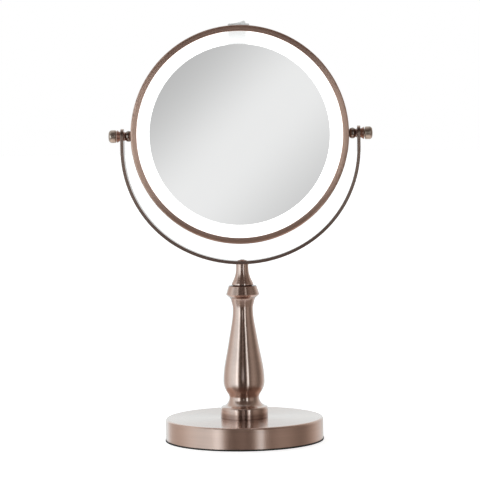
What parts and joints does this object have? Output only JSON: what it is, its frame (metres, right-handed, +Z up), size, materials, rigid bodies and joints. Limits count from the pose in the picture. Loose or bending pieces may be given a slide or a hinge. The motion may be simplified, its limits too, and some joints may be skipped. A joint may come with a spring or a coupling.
{
  "type": "lighted vanity mirror",
  "caption": "Round two-sided mirror with a glowing ring on each face, tilting in a half-round yoke on a turned column and round weighted base.",
  "frame": {"origin": "middle of the base's underside, on the surface that it stands on", "axes": "+Z up; the flat mirror faces -Y and the magnifying one +Y; the tilt axis runs along X"},
  "size_m": [0.264, 0.1592, 0.419],
  "materials": {
    "bronze": "satin copper-bronze plating, lathe brushed, clear lacquer",
    "plated_plastic": "moulded plastic with satin copper-bronze plating",
    "dark_bronze": "polished antique bronze",
    "cast_weight": "rough cast",
    "pad_foam": "matt closed-cell pad",
    "plain_steel": "zinc plated",
    "opal": "opal, satin, lit from behind",
    "mirror_glass": "silvered glass with a ground edge",
    "foam_tape": "adhesive foam",
    "white_plastic": "light grey-white moulded",
    "board": "white solder mask",
    "lamp": "phosphor window",
    "black_plastic": "fine texture",
    "cell_jacket": "plain printed sleeve",
    "red_insulation": "soft insulation",
    "black_insulation": "soft insulation"
  },
  "bodies": {
    "stand": {"base_pad": "pad_foam", "base_cover": "bronze", "base_weight": "cast_weight", "base_washer": "plain_steel", "base_nut": "plain_steel", "tie_rod": "plain_steel", "column": "bronze", "neck_cone": "bronze", "yoke": "bronze", "yoke_screw": "bronze"},
    "head": {"drum": "plated_plastic", "front_bezel": "plated_plastic", "rear_bezel": "plated_plastic", "left_pivot_bead": "dark_bronze", "right_pivot_bead": "dark_bronze", "left_pivot_washer": "dark_bronze", "right_pivot_washer": "dark_bronze", "tray_screws": "plain_steel", "left_pivot_stud": "plain_steel", "right_pivot_stud": "plain_steel", "contact_plates": "plain_steel", "contact_springs": "plain_steel", "switch_terminals": "plain_steel", "front_diffuser": "opal", "rear_diffuser": "opal", "front_mirror": "mirror_glass", "rear_mirror": "mirror_glass", "front_mirror_tape": "foam_tape", "rear_mirror_tape": "foam_tape", "front_reflector": "white_plastic", "rear_reflector": "white_plastic", "switch_housing": "white_plastic", "front_led_board": "board", "rear_led_board": "board", "front_leds": "lamp", "rear_leds": "lamp", "battery_tray": "black_plastic", "battery_cover": "black_plastic", "battery_cells": "cell_jacket", "red_lead": "red_insulation", "front_board_leads": "red_insulation", "black_lead": "black_insulation", "rear_board_leads": "black_insulation"},
    "left_clamp_washer": {"left_knob_washer": "dark_bronze"},
    "right_clamp_washer": {"right_knob_washer": "dark_bronze"},
    "left_clamp_knob": {"left_knob": "dark_bronze"},
    "right_clamp_knob": {"right_knob": "dark_bronze"},
    "rocker": {"switch_rocker": "white_plastic"}
  },
  "joints": [
    {"name": "head_tilt", "type": "hinge", "parent": "stand", "child": "head", "pos_m": [0, 0, 0.306], "axis": [1, 0, 0], "continuous": true},
    {"name": "rocker_press", "type": "hinge", "parent": "head", "child": "rocker", "pos_m": [0, 0, 0.414], "axis": [0, 1, 0], "range_deg": [0, 24]},
    {"name": "left_washer_slide", "type": "slide", "parent": "head", "child": "left_clamp_washer", "axis": [-1, 0, 0], "range_m": [0, 0.00081]},
    {"name": "left_knob_turn", "type": "hinge", "parent": "left_clamp_washer", "child": "left_clamp_knob", "pos_m": [-0.124, 0, 0.306], "axis": [-1, 0, 0], "range_deg": [0, 360]},
    {"name": "right_washer_slide", "type": "slide", "parent": "head", "child": "right_clamp_washer", "axis": [1, 0, 0], "range_m": [0, 0.00081]},
    {"name": "right_knob_turn", "type": "hinge", "parent": "right_clamp_washer", "child": "right_clamp_knob", "pos_m": [0.124, 0, 0.306], "axis": [1, 0, 0], "range_deg": [0, 360]}
  ],
  "couplings": [
    {"joint": "left_washer_slide", "follows": "left_knob_turn", "m_per_rad": 0.00012732},
    {"joint": "right_washer_slide", "follows": "right_knob_turn", "m_per_rad": 0.00012732}
  ]
}
